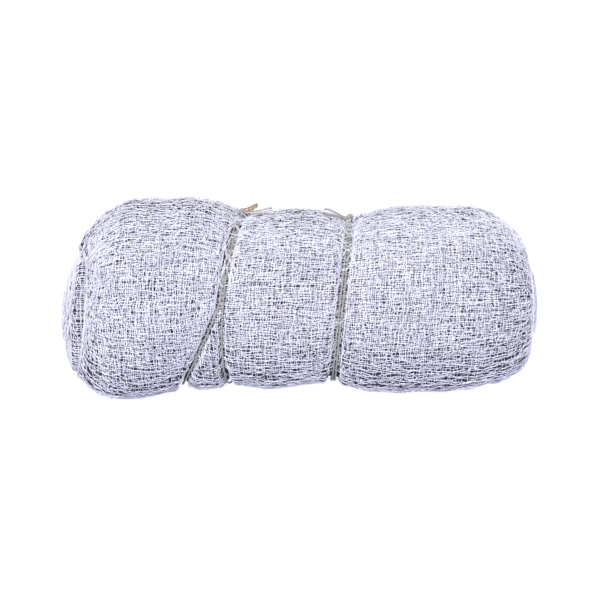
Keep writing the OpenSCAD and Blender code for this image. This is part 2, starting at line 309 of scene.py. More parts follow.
# Knots: on top of each tie the twine takes three turns round its own two ends and is
# drawn tight, so that it stands up as a small barrel. The left one is slipped: a short
# bight, still the brown of new jute, is left in it and lies over the middle lobe.
slipped_bight = [
    (0, -0.001, 0.0006), (0.005, -0.0022, 0.0010), (0.010, -0.0032, 0.0030),
    (0.0145, -0.0036, 0.0054), (0.0166, -0.0032, 0.0074), (0.0152, -0.0024, 0.0082),
    (0.011, -0.0018, 0.0062), (0.006, -0.0012, 0.0038), (0.002, -0.0006, 0.0026),
]
knot_turns, part_turn, turn_pitch, turn_points = 3, 0.3, 1.02, 80
heart_d, bight_d = twine_d * 1.2, twine_d * 1.1
for tie_side, knot_place in knot_places.items():
    knot_parts = ([], [], [])
    knot_low, knot_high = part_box(tie_side + "_knot")
    half = (knot_high.y - knot_low.y) / 2
    wrap_r = (knot_high.z - knot_low.z) / 2 - twine_d / 2
    turn = np.linspace(-part_turn, knot_turns + part_turn, turn_points)
    barrel = np.column_stack([
        knot_place.x + wrap_r * np.sin(2 * math.pi * turn),
        knot_place.y + (turn / knot_turns - 0.5) * knot_turns * twine_d * turn_pitch,
        knot_place.z + wrap_r * np.cos(2 * math.pi * turn),
    ])
    add_twine(knot_parts, smooth_route(barrel, twine_step), twine_d)
    heart = [knot_place + Vector((0, y, 0)) for y in (-half, -half / 2, 0, half / 2, half)]
    add_twine(knot_parts, smooth_route(heart, twine_step), heart_d)
    knot = tube_piece(tie_side + "_knot_turns", knot_parts, grey_jute, "outer")
    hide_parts(tie_side + "_knot")

fresh_jute = twine_material("fresh_jute_twine", "#A88E70", "#61513B")
bight_parts = ([], [], [])
bight = [knot_places["left"] + Vector(point) for point in slipped_bight]
add_twine(bight_parts, smooth_route(bight, twine_step), bight_d)
tube_piece("left_knot_bight", bight_parts, fresh_jute, "outer")


# Head cord: 13.6 m of braided white nylon that carries the net when it is up. It is wound
# in a hank beside the head band, in the middle of the roll.
def hank_route(low, high, cord_d, gap, loops, layer_loops):
    """Turns that grow across a layer and shrink back in the next, inside a box."""
    step = cord_d + gap
    bend_rings = 48
    middle = (low + high) / 2
    widest = (high.z - low.z) / 2 - cord_d / 2
    smallest = widest - step * layer_loops
    run = (high.x - low.x) / 2 - widest - cord_d / 2
    turn = (np.arange(loops * bend_rings) + 0.5) / bend_rings
    layer = np.floor(turn / layer_loops)
    part = turn - layer * layer_loops
    r = smallest + step * np.where(layer % 2 == 0, part, layer_loops - part)
    angle = 2 * math.pi * turn + math.pi / 2
    return np.column_stack([
        middle.x + np.sign(np.cos(angle)) * run + r * np.cos(angle),
        low.y + cord_d / 2 + layer * step,
        middle.z + r * np.sin(angle),
    ])


def braid_material():
    """Braided nylon cord: strands cross in a fine chevron, with painted shade in the grooves
    between them, and a soft shine.
    """
    material, shader = bare_material("braided_nylon_cord")
    strand_pitch = 0.002992
    waves_per_metre = 10 / (2 * math.pi)  # of a diagonal wave at a scale of 1
    along = add_node(material, "ShaderNodeUVMap", {"uv_map": "lay"}, {})
    strands = add_node(material, "ShaderNodeTexWave", {"bands_direction": "DIAGONAL"}, {
        "Vector": along.outputs["UV"], "Scale": 1 / (strand_pitch * waves_per_metre),
        "Distortion": 1.5,
    })
    # Painted shade: the colour is greyer where the strands' bumps are low.
    colour = add_node(material, "ShaderNodeMix", {"data_type": "RGBA"}, {
        0: strands.outputs["Fac"], 6: srgb("#C4C4C6"), 7: srgb("#F1F1F3"),
    })
    bump = add_node(material, "ShaderNodeBump", {}, {
        "Height": strands.outputs["Fac"], "Strength": 0.6, "Distance": 0.0003,
    })
    link(material, colour.outputs[2], shader, "Base Color")
    link(material, bump.outputs["Normal"], shader, "Normal")
    shader.inputs["Roughness"].default_value = 0.5
    return material


head_cord_d = 0.004
hank_low, hank_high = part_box("head_cord")
hank_parts = ([], [], [])
hank = hank_route(hank_low, hank_high, head_cord_d, gap=0.0006, loops=15, layer_loops=4)
hank_side, hank_up = sides_along(hank)
add_tube(hank_parts, hank, hank_side, hank_up, head_cord_d / 2, sides=8)
head_cord = tube_piece("head_cord_hank", hank_parts, braid_material(), "inner")
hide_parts("head_cord")


# Head band: 12.8 m of white cotton canvas, folded over the head cord, sewn along its
# edge and folded to and fro with the netting in the middle of the roll.
def canvas_material():
    """Cotton canvas: a plain weave of thick threads, with painted shade in its hollows. The
    threads, about 1 mm in a real band, are drawn coarser, so that they show."""
    material, shader = bare_material("cotton_canvas")
    thread_spacing = 0.005712
    waves_per_metre = 20 / (2 * math.pi)  # of a wave along an axis at a scale of 1
    place = add_node(material, "ShaderNodeTexCoord", {}, {})
    weave = [
        add_node(material, "ShaderNodeTexWave", {"bands_direction": axis}, {
            "Vector": place.outputs["Object"], "Distortion": 0.4,
            "Scale": 1 / (thread_spacing * waves_per_metre),
        })
        for axis in ("X", "Y")
    ]
    crossed = add_node(material, "ShaderNodeMath", {"operation": "MULTIPLY"}, {
        0: weave[0].outputs["Fac"], 1: weave[1].outputs["Fac"],
    })
    # Painted shade: the colour is duller where the weave's bumps are low.
    colour = add_node(material, "ShaderNodeMix", {"data_type": "RGBA"}, {
        0: crossed.outputs["Value"], 6: srgb("#D5D3C9"), 7: srgb("#F5F4EE"),
    })
    bump = add_node(material, "ShaderNodeBump", {}, {
        "Height": crossed.outputs["Value"], "Strength": 0.5, "Distance": 0.0004,
    })
    link(material, colour.outputs[2], shader, "Base Color")
    link(material, bump.outputs["Normal"], shader, "Normal")
    shader.inputs["Roughness"].default_value = 0.85
    shader.inputs["Sheen Weight"].default_value = 0.2
    return material


def copy_of_node(name, node):
    """A copy of a CAD node's mesh with its corners merged, selected and active."""
    piece = bpy.data.objects.new(name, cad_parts[node].data.copy())
    piece.data.materials.clear()
    bpy.context.scene.collection.objects.link(piece)
    bpy.ops.object.select_all(action="DESELECT")
    piece.select_set(True)
    bpy.context.view_layer.objects.active = piece
    edit_mesh(bpy.ops.mesh.remove_doubles, threshold=1e-6)
    return piece


def edit_mesh(operator, **settings):
    """Runs an operator on the whole mesh of the active object."""
    bpy.ops.object.mode_set(mode="EDIT")
    bpy.ops.mesh.select_all(action="SELECT")
    operator(**settings)
    bpy.ops.object.mode_set(mode="OBJECT")


def apply_modifier(kind, **settings):
    """Adds a modifier to the active object and applies it."""
    bpy.ops.object.modifier_add(type=kind)
    modifier = bpy.context.object.modifiers[-1]
    for name, value in settings.items():
        setattr(modifier, name, value)
    bpy.ops.object.modifier_apply(modifier=modifier.name)


head_band = copy_of_node("head_band_canvas", "head_band")
edit_mesh(bpy.ops.mesh.dissolve_limited, angle_limit=math.radians(1))
apply_modifier(
    "BEVEL", width=0.0004, segments=2, limit_method="ANGLE", angle_limit=math.radians(60),
)
bpy.ops.object.shade_smooth_by_angle(angle=math.radians(50))
head_band.data.materials.append(canvas_material())
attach(head_band, "inner")
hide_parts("head_band")


# Inner turns: the roll of folded netting round the band and the hank. Its ends bulge out
# of the outer turn and show the spiral of the roll, and it can slide a little lengthwise.
def painted_shade_netting_material():
    """Netting seen below the surface: layer on layer of white mesh, with the shade of the layers
    above painted into its colour, so it is a dim tangle of threads round small dark holes."""
    material, shader = bare_material("packed_nylon_netting_painted_shade")
    mesh_width = 0.0036
    place = add_node(material, "ShaderNodeTexCoord", {}, {})
    cells = add_node(material, "ShaderNodeTexVoronoi", {"feature": "DISTANCE_TO_EDGE"}, {
        "Vector": place.outputs["Object"], "Scale": 1 / mesh_width, "Randomness": 0.8,
    })
    threads = add_node(material, "ShaderNodeMapRange", {"interpolation_type": "SMOOTHSTEP"}, {
        "Value": cells.outputs["Distance"], "From Min": 0.05, "From Max": 0.3,
        "To Min": 1, "To Max": 0,
    })
    # Painted shade: the white threads below are coloured near black here, and the holes black.
    colour = add_node(material, "ShaderNodeMix", {"data_type": "RGBA"}, {
        0: threads.outputs["Result"], 6: srgb("#030306"), 7: srgb("#191B2A"),
    })
    bump = add_node(material, "ShaderNodeBump", {}, {
        "Height": threads.outputs["Result"], "Strength": 0.8, "Distance": 0.001,
    })
    link(material, colour.outputs[2], shader, "Base Color")
    link(material, bump.outputs["Normal"], shader, "Normal")
    shader.inputs["Roughness"].default_value = 0.75
    return material


def nylon_material():
    """Twisted nylon netting twine: bluish white with a faint shine, a little greyer in
    places where it has lain on the ground, with rare straw-coloured marks."""
    material, shader = bare_material("white_nylon_netting_twine")
    cloud_size, mark_size = 0.012, 0.02
    place = add_node(material, "ShaderNodeTexCoord", {}, {})
    shade = add_node(material, "ShaderNodeTexNoise", {}, {
        "Vector": place.outputs["Object"], "Scale": 1 / cloud_size, "Detail": 3, "Roughness": 0.7,
    })
    level = add_node(material, "ShaderNodeMapRange", {}, {
        "Value": shade.outputs["Fac"], "From Min": 0.35, "From Max": 0.65,
    })
    white = add_node(material, "ShaderNodeMix", {"data_type": "RGBA"}, {
        0: level.outputs["Result"], 6: srgb("#D6D6E4"), 7: srgb("#E8E8F3"),
    })
    marks = add_node(material, "ShaderNodeTexNoise", {}, {
        "Vector": place.outputs["Object"], "Scale": 1 / mark_size, "Detail": 2,
    })
    marked = add_node(material, "ShaderNodeMapRange", {}, {
        "Value": marks.outputs["Fac"], "From Min": 0.76, "From Max": 0.82, "To Max": 0.3,
    })
    colour = add_node(material, "ShaderNodeMix", {"data_type": "RGBA"}, {
        0: marked.outputs["Result"], 6: white.outputs[2], 7: srgb("#C7A98C"),
    })
    link(material, colour.outputs[2], shader, "Base Color")
    shader.inputs["Roughness"].default_value = 0.5
    shader.inputs["Sheen Weight"].default_value = 0.1
    return material


# The netting below the surface is coloured in painted shade.
painted_shade_netting = painted_shade_netting_material()
nylon_twine = nylon_material()
net_depth = 0.0024


def packed_body(name, node, passes):
    """A soft, rounded copy of a CAD solid, set back by the depth of the netting round it."""
    piece = copy_of_node(name, node)
    piece.data.remesh_voxel_size = 0.004
    bpy.ops.object.voxel_remesh()
    apply_modifier("SMOOTH", factor=0.5, iterations=passes)
    edit_mesh(bpy.ops.transform.shrink_fatten, value=-net_depth)
    bpy.ops.object.shade_smooth()
    piece.data.materials.append(painted_shade_netting)
    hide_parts(node)
    return piece


def move_corners(piece, moved):
    """Moves each corner of a mesh along its normal by what moved gives for its place."""
    shifts = [v.normal * moved(v.co) for v in piece.data.vertices]
    for vertex, shift in zip(piece.data.vertices, shifts):
        vertex.co += shift
    piece.data.update()


def knotted_net(name, points, heft, slack, loose, strip=(0, 1)):
    """A net that goes all the way round, with its knots at a grid of points: each thread
    between two knots is a bar of twine, as thick as the heft at its knots. Some are missing:
    slack gives the share of those that go round, and loose of those that run lengthwise. A
    strip is the part of its flat map that it fills, as a number and a count."""
    points = np.concatenate([points, points[:, :1]], axis=1)
    heft = np.concatenate([heft, heft[:, :1]], axis=1)
    missing = np.stack([loose, slack])
    missing = np.concatenate([missing, missing[:, :, :1]], axis=2)
    rows, columns = points.shape[0] - 1, points.shape[1] - 1
    rng = np.random.default_rng(rows * columns)
    bpy.ops.object.select_all(action="DESELECT")
    bpy.ops.mesh.primitive_grid_add(x_subdivisions=columns, y_subdivisions=rows, size=1)
    piece = bpy.context.object
    piece.name = name
    mesh = piece.data
    mesh.vertices.foreach_set("co", points.reshape(-1).astype(np.float32))
    mesh.attributes.new("knot", "INT", "POINT").data.foreach_set(
        "value", np.arange(len(mesh.vertices), dtype=np.int32),
    )
    mesh.uv_layers.remove(mesh.uv_layers[0])
    thickness = piece.vertex_groups.new(name="thickness")
    for vertex, share in enumerate(heft.ravel()):
        thickness.add([vertex], float(share), "REPLACE")
    bpy.ops.object.mode_set(mode="EDIT")
    bpy.ops.mesh.select_all(action="SELECT")
    bpy.ops.mesh.remove_doubles(threshold=1e-5)
    bpy.ops.mesh.select_all(action="DESELECT")
    bpy.ops.mesh.select_mode(type="EDGE")
    grid = bmesh.from_edit_mesh(mesh)
    knot = grid.verts.layers.int["knot"]
    for edge, draw in zip(grid.edges, rng.random(len(grid.edges))):
        start, end = sorted(vertex[knot] for vertex in edge.verts)
        goes_round = start // (columns + 1) == end // (columns + 1)
        share = missing[int(goes_round), start // (columns + 1), start % (columns + 1)]
        edge.select_set(bool(draw < share) and len(edge.link_faces) == 2)
    bpy.ops.mesh.dissolve_edges(use_verts=False)
    bpy.ops.object.mode_set(mode="OBJECT")
    apply_modifier(
        "WIREFRAME", thickness=0.00118, offset=0, use_even_offset=False,
        vertex_group="thickness", thickness_vertex_group=0.5,
    )
    edit_mesh(bpy.ops.mesh.normals_make_consistent, inside=False)
    bpy.ops.object.shade_smooth()
    lay_flat(piece.data, points, strip)
    piece.data.materials.append(nylon_twine)
    return piece


def lay_flat(mesh, points, strip):
    """Gives a net its flat map: each knot at its place in the grid, each bar of twine at its
    own width, and a bar across the seam whole at the far side."""
    margin = 0.01
    rows, columns = points.shape[0] - 1, points.shape[1] - 1
    knot = np.empty(len(mesh.vertices), np.int32)
    mesh.attributes["knot"].data.foreach_get("value", knot)
    place = np.empty(3 * len(mesh.vertices), np.float32)
    mesh.vertices.foreach_get("co", place)
    off = place.reshape(-1, 3) - points.reshape(-1, 3)[knot]
    along = np.gradient(points, axis=0).reshape(-1, 3)[knot]
    around = np.gradient(points, axis=1).reshape(-1, 3)[knot]
    row = knot // (columns + 1) + (off * along).sum(1) / (along ** 2).sum(1)
    column = knot % (columns + 1) + (off * around).sum(1) / (around ** 2).sum(1)
    corner = np.empty(len(mesh.loops), np.int32)
    mesh.loops.foreach_get("vertex_index", corner)
    first = np.empty(len(mesh.polygons), np.int32)
    mesh.polygons.foreach_get("loop_start", first)
    u = (strip[0] + (row[corner] + 1) / (rows + 2)) / strip[1]
    v = column[corner] / columns
    widest = np.repeat(np.maximum.reduceat(v, first), np.diff(np.append(first, len(corner))))
    v = (v + (widest - v > 0.5) + margin) / (1 + 3 * margin)
    flat = np.column_stack([u, v]).astype(np.float32)
    mesh.uv_layers.new(name="OFBake").uv.foreach_set("vector", flat.ravel())
    mesh.attributes.remove(mesh.attributes["knot"])


def hang_net(piece, body):
    """A finished net moves with its body."""
    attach(piece, body)


inner_low, inner_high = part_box("inner_turn")
inner_axis = (inner_low.z + inner_high.z) / 2
inner_r = (inner_high.z - inner_low.z) / 2


def spiral_rise(place):
    """Height of the roll's turns on its ends, where each layer stands up as a low ridge. The
    right end is pressed in a little, most of all at the top."""
    turn_step, ridge_rise = 0.011, 0.001
    lump_rise, lumps_per_metre = 0.002, 45
    pressed_all, pressed_top = 0.001, 0.003
    edge, depth = 0.004, 0.05
    across = Vector((0, place.y, place.z - inner_axis))
    r = across.length
    if r > inner_r - edge or abs(place.x) < inner_high.x - depth:
        return 0
    turn = math.atan2(across.z, across.y) / (2 * math.pi)
    ridge = math.cos(2 * math.pi * (r / turn_step - turn))
    pressed = (place.x > 0) * (pressed_all + pressed_top * max(0, across.z / inner_r))
    return ridge_rise * ridge + lump_rise * noise.noise(place * lumps_per_metre) - pressed


def ramp(value, low, high):
    """0 up to low, 1 from high on, and straight between them."""
    return min(1, max(0, (value - low) / (high - low)))


def bell(value, middle, width):
    """1 at the middle, fading out over a width on both sides."""
    return np.exp(-((value - middle) / width) ** 2)


dome_length = 0.042
left_sag, left_swell = 0.0095, 0.09
left_tip = inner_low.x + 0.0044
left_dome_x = inner_low.x + dome_length


def left_bulge(across):
    """Where the sagging left bulge lies along the roll, for a place across it: its tip is low,
    and it falls away from there as a parabola does, faster upwards."""
    sideways, upwards, least = 3.5, 0.5, 0.001
    sagged = across + Vector((0, 0, left_sag))
    curve = sideways + upwards * across.z / max(across.length, least)
    return left_tip + curve * sagged.length_squared


inner_turns = packed_body("inner_turns", "inner_turn", passes=4)
for corner in inner_turns.data.vertices:
    out = left_dome_x - corner.co.x
    swell = 1 + left_swell * ramp(out, -0.01, 0.004)
    across = Vector((0, corner.co.y, corner.co.z - inner_axis)) * swell
    corner.co.x += (left_bulge(across) - corner.co.x) * ramp(out, 0, 0.01)
    corner.co.y = across.y
    corner.co.z = inner_axis + across.z
inner_turns.data.update()
move_corners(inner_turns, spiral_rise)
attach(inner_turns, "inner")


def tree_of(piece):
    """What rays are cast at to find a piece's surface."""
    bpy.context.view_layer.update()
    return BVHTree.FromObject(piece, bpy.context.evaluated_depsgraph_get())


def end_surface(tree, end, slope, angle):
    """The place on a bulging end and its normal: slope is 0 at its tip, angle goes round it."""
    cast_from = 0.2
    middle = Vector((end * (inner_high.x - dome_length), 0, inner_axis))
    out = Vector((
        end * math.cos(slope),
        -math.sin(slope) * math.cos(angle),
        math.sin(slope) * math.sin(angle),
    ))
    place, normal, _, _ = tree.ray_cast(middle + out * cast_from, -out)
    return [*place, *normal]


def end_line(tree, end, slopes, angle, steps):
    """Places and normals down a bulging end at one angle, at even steps along the surface."""
    line = np.array([end_surface(tree, end, slope, angle) for slope in slopes])
    length = length_along(line[:, :3])
    return np.column_stack([np.interp(steps * length[-1], length, line[:, k]) for k in range(6)])


inner_tree = tree_of(inner_turns)
mesh_pitch = 0.0032
end_bulge_r = 0.056
end_rings = [(0.02, 0.34, 32), (0.34, 0.78, 68), (0.78, 1.75, 124)]
end_layers = {"under": 0.0005, "outer": 0.0014}
slope_steps = 30
row_spread, column_spread = 0.25, 0.2
most_heft, share_missing = 0.5, 0.03
for end, end_name in ((-1, "left"), (1, "right")):
    for layer, lift in end_layers.items():
        rng = np.random.default_rng(50 + (layer == "outer") + 10 * (end > 0))
        rings = []
        for ring, (slope_from, slope_to, columns) in enumerate(end_rings):
            rows = round((slope_to - slope_from) * end_bulge_r / mesh_pitch)
            slopes = np.linspace(slope_from, slope_to, slope_steps)
            points = np.empty((rows + 1, columns, 3))
            for j in range(columns):
                stray = rng.normal(0, row_spread, rows + 1)
                stray[[0, -1]] = 0
                column = j + 0.5 * (layer == "outer") + rng.normal(0, column_spread)
                angle = 2 * math.pi * column / columns
                steps = (np.arange(rows + 1) + stray) / rows
                line = end_line(inner_tree, end, slopes, angle, steps)
                points[:, j] = line[:, :3] + line[:, 3:] * lift
            heft = rng.uniform(0, most_heft, points.shape[:2])
            missing = np.full(heft.shape, share_missing)
            name = f"{end_name}_end_{layer}_netting"
            strip = (ring, len(end_rings))
            rings.append(knotted_net(name, points, heft, missing, missing, strip))
        for ring in rings:
            ring.select_set(True)
        bpy.context.view_layer.objects.active = rings[0]
        bpy.ops.object.join()
        hang_net(rings[0], "inner")


# Outer turn: the last turn of the folded strip, drawn in by the two ties so that it swells
# in three lobes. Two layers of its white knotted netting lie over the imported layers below,
# and run over both rims into their mouths.
def angle_round(place):
    """Angle round the roll: 0 is the front and a quarter turn is the top."""
    return math.atan2(place.z - roll_axis, -place.y)


def tie_place(side):
    """Where a tie lies along the roll, for any angle round it, from its first turn."""
    route = tie_routes[side]
    first_turn = route[2:len(route) // 2]
    angle = np.arctan2(first_turn[:, 2] - roll_axis, -first_turn[:, 1]) % (2 * math.pi)
    order = np.argsort(angle)
    return lambda a: np.interp(
        np.asarray(a) % (2 * math.pi), angle[order], first_turn[order, 0], period=2 * math.pi,
    )


roll_axis = 0.104
left_tie_at = tie_place("left")
right_tie_at = tie_place("right")
bore_gap = 0.002
bore_r = inner_r + bore_gap


def tree_of_routes(routes):
    """What the distance to the nearest of some routes is asked from."""
    points = np.vstack([smooth_route(route, step=0.002) for route in routes])
    tree = KDTree(len(points))
    for index, point in enumerate(points):
        tree.insert(point, index)
    tree.balance()
    return tree


tie_tree = tree_of_routes(tie_routes.values())
tail_tree = tree_of_routes(tail_routes.values())
left_rim_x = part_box("outer_turn")[0].x


def lumps(place):
    """Soft lumps where layers bunch up, pleated lips beside the ties, and the softer edges of
    the left rim and of the right end's underside."""
    wall = 0.012
    big_rise, big_per_metre, small_rise, small_per_metre = 0.0022, 24, 0.0012, 60
    lip_rise, pleat_rise, lip_gap, lip_width = 0.0026, 0.0020, 0.0105, 0.004
    edge_loss, edge_reach, tie_loss = 0.003, 0.012, 0.0016
    across = math.hypot(place.y, place.z - inner_axis)
    if across < bore_r + wall:
        return 0
    angle = angle_round(place)
    tie_gap = tie_tree.find(place)[2]
    tail_gap = tail_tree.find(place)[2]
    free = ramp(tie_gap, 0.008, 0.035) * ramp(tail_gap, 0.008, 0.03)
    big, small = noise.noise(place * big_per_metre), noise.noise(place * small_per_metre)
    rise = free * (big_rise * big + small_rise * small)
    pleat = noise.noise(Vector((9 * angle, 20 * place.x, 0)))
    lip = bell(tie_gap, lip_gap, lip_width) * ramp(tail_gap, 0.01, 0.025)
    rise += lip * (lip_rise + pleat_rise * pleat)
    rise -= edge_loss * bell(place.x, left_rim_x, edge_reach)
    rise -= edge_loss * ramp(place.x, 0.16, 0.21) * max(0, -math.sin(angle))
    rise -= tie_loss * ramp(0.008 - tie_gap, 0, 0.004)
    return float(rise)


outer_turn = packed_body("outer_turn_packed", "outer_turn", passes=5)
move_corners(outer_turn, lumps)
# The left rim is drawn back in front, and a nose of it is drawn out behind the top.
drawn_back_from = -0.205
drawn_back, drawn_out = 0.3, 0.16
front_middle, nose_middle, nose_r = math.radians(20), math.radians(125), 0.079
for corner in outer_turn.data.vertices:
    angle = angle_round(corner.co)
    across = math.hypot(corner.co.y, corner.co.z - roll_axis)
    front = max(0, math.cos(angle - front_middle)) ** 1.5
    nose = max(0, math.cos(angle - nose_middle)) ** 2 * ramp(nose_r - across, 0, 0.012)
    pull = drawn_back * front - drawn_out * nose
    corner.co.x += pull * max(0, drawn_back_from - corner.co.x)
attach(outer_turn, "outer")

outer_tree = tree_of(outer_turn)
rim_margin = 0.0012
rim_x = max(corner.co.x for corner in outer_turn.data.vertices) - rim_margin
angle_steps = 180
fine_rows = 60


def roll_profile(angle):
    """Distances along the roll and from its axis, from rim to rim, at one angle."""
    cast_from, cast_steps, least_r = 0.3, 320, bore_r - 0.012
    out = Vector((0, -math.cos(angle), math.sin(angle)))
    along = []
    for share in np.linspace(0, math.pi, cast_steps):
        x = -rim_x * math.cos(share)
        middle = Vector((x, 0, roll_axis))
        hit = outer_tree.ray_cast(middle + out * cast_from, -out)[0]
        if hit is not None and (hit - middle).dot(out) > least_r:
            along.append((x, (hit - middle).length))
    return np.array(along)


def roll_map():
    """The skin of the roll as a grid: from the left rim to the left tie, the right tie and
    the right rim, and all the way round, with even steps along the skin in each lobe."""
    places = np.empty((3 * fine_rows + 1, angle_steps + 1, 3))
    for j in range(angle_steps + 1):
        angle = 2 * math.pi * (j % angle_steps) / angle_steps
        profile = roll_profile(angle)
        length = length_along(profile)
        stops = np.interp((left_tie_at(angle), right_tie_at(angle)), profile[:, 0], length)
        at = np.interp(
            np.arange(3 * fine_rows + 1), fine_rows * np.arange(4),
            [length[0], *stops, length[-1]],
        )
        x = np.interp(at, length, profile[:, 0])
        r = np.interp(at, length, profile[:, 1])
        places[:, j] = np.column_stack(
            [x, -r * math.cos(angle), roll_axis + r * math.sin(angle)],
        )
    across = np.gradient(places, axis=0)
    around = np.gradient(places, axis=1)
    normals = np.cross(across, around)
    normals /= np.linalg.norm(normals, axis=2)[:, :, None]
    return places, normals


skin_places, skin_normals = roll_map()


def on_skin(row, angle, lift):
    """Places a lift above the skin: row runs from 0 to 3 over the lobes, angle in turns."""
    i = np.clip(row * fine_rows, 0, 3 * fine_rows - 1e-6)
    j = (angle % 1) * angle_steps
    i0, j0 = np.floor(i).astype(int), np.floor(j).astype(int)
    u, v = (i - i0)[..., None], (j - j0)[..., None]

    def mixed(grid):
        low = grid[i0, j0] * (1 - v) + grid[i0, j0 + 1] * v
        high = grid[i0 + 1, j0] * (1 - v) + grid[i0 + 1, j0 + 1] * v
        return low * (1 - u) + high * u

    return mixed(skin_places) + mixed(skin_normals) * lift[..., None]


def wander(rng, lines, steps, reach):
    """For each line a smooth stray to and fro along its steps."""
    rough = rng.normal(0, 1, (lines, steps + 2 * reach))
    window = np.hanning(2 * reach + 1)
    window /= math.sqrt((window ** 2).sum())
    return np.array([np.convolve(line, window, "valid") for line in rough])


def bunches(rng, lines, steps):
    """How far threads of several layers lie together along each line: about one line in
    four is bold, and it thins out and comes back along its way."""
    usual, swing, reach = 0.55, 0.6, 9
    bold = np.zeros((lines, steps))
    line = rng.integers(1, 4)
    while line < lines - 1:
        bold[line] = np.clip(usual + swing * wander(rng, 1, steps, reach)[0], 0, 1)
        line += rng.integers(3, 6)
    return bold


def drawn_together(bold):
    """How far the lines on either side move towards a bold line, in steps."""
    most = 0.06
    pull = np.zeros_like(bold)
    pull[1:] -= most * bold[:-1]
    pull[:-1] += most * bold[1:]
    return pull


def downward_drift(row, turn):
    """How far, in turns, the lengthwise threads of the left lobe's lower front are drawn
    down towards the foot of its tie."""
    most, middle, width = -0.03, -0.12, 0.09
    share = np.clip(row, 0, 1)
    from_front = (turn + 0.5) % 1 - 0.5
    return most * share ** 2 * (row < 1) * bell(from_front, middle, width)


def stretched(turn):
    """How far the layers are stretched round the roll: under its front, and on its top."""
    foot_at, foot_most, foot_width = 0.83, 1.5, 0.09
    top_at, top_most, top_width = 0.27, 1.4, 0.07
    from_foot = (turn - foot_at + 0.5) % 1 - 0.5
    from_top = (turn - top_at + 0.5) % 1 - 0.5
    return foot_most * bell(from_foot, 0, foot_width), top_most * bell(from_top, 0, top_width)


def lengthwise_places(columns):
    """Where the lengthwise threads lie, in turns: wider apart where the roll is stretched."""
    turn_steps, widening = 721, 1.3
    turn = np.linspace(0, 1, turn_steps)
    spacing = 1 + widening * sum(stretched(turn))
    place = np.append(0, np.cumsum(1 / spacing[:-1]))
    return np.interp(np.arange(-columns, 2 * columns) / columns, np.concatenate([
        place[:-1] / place[-1] - 1, place[:-1] / place[-1], place / place[-1] + 1,
    ]), np.concatenate([turn[:-1] - 1, turn[:-1], turn + 1]))


def at_rims(row, turn):
    """How far the rims are worn, fading out over a few rows: the left one more than the right,
    and most of all on the upper front."""
    left_fade, right_fade, right_share, most_at = 0.09, 0.16, 0.6, 0.17
    worn = np.exp(-row / left_fade) + right_share * np.exp(-(3 - row) / right_fade)
    return worn * (0.55 + 0.45 * np.cos(2 * math.pi * (turn - most_at)))


def opened(share, reach):
    """Share of the way in from a rim, with the rows wider apart where the skin turns in."""
    share = np.maximum(share, 0)
    return share + reach * (1 - np.exp(-share / reach)) * (1 - share)


def beside_ties(points):
    """How far the netting stands up beside a tie, and sinks in next to its twine, so that the
    twine lies in a dark crease."""
    lip_rise, lip_gap, lip_width, pleats_per_metre = 0.0016, 0.0058, 0.0025, 130
    crease_width, wider_at_foot, crease_depth = 0.0043, 0.0011, 0.005
    lifts = np.empty(points.shape[:-1])
    for index in np.ndindex(lifts.shape):
        place = Vector(points[index])
        gap = tie_tree.find(place)[2]
        free = ramp(tail_tree.find(place)[2], 0.006, 0.018) * ramp(place.z, 0.01, 0.05)
        pleat = 0.7 + 0.6 * noise.noise(place * pleats_per_metre)
        lip = lip_rise * free * pleat * bell(gap, lip_gap, lip_width)
        crease = crease_width + wider_at_foot * ramp(0.065 - place.z, 0, 0.04) * (place.y < 0)
        lifts[index] = lip - crease_depth * ramp(crease - gap, 0, 0.0008)
    return lifts


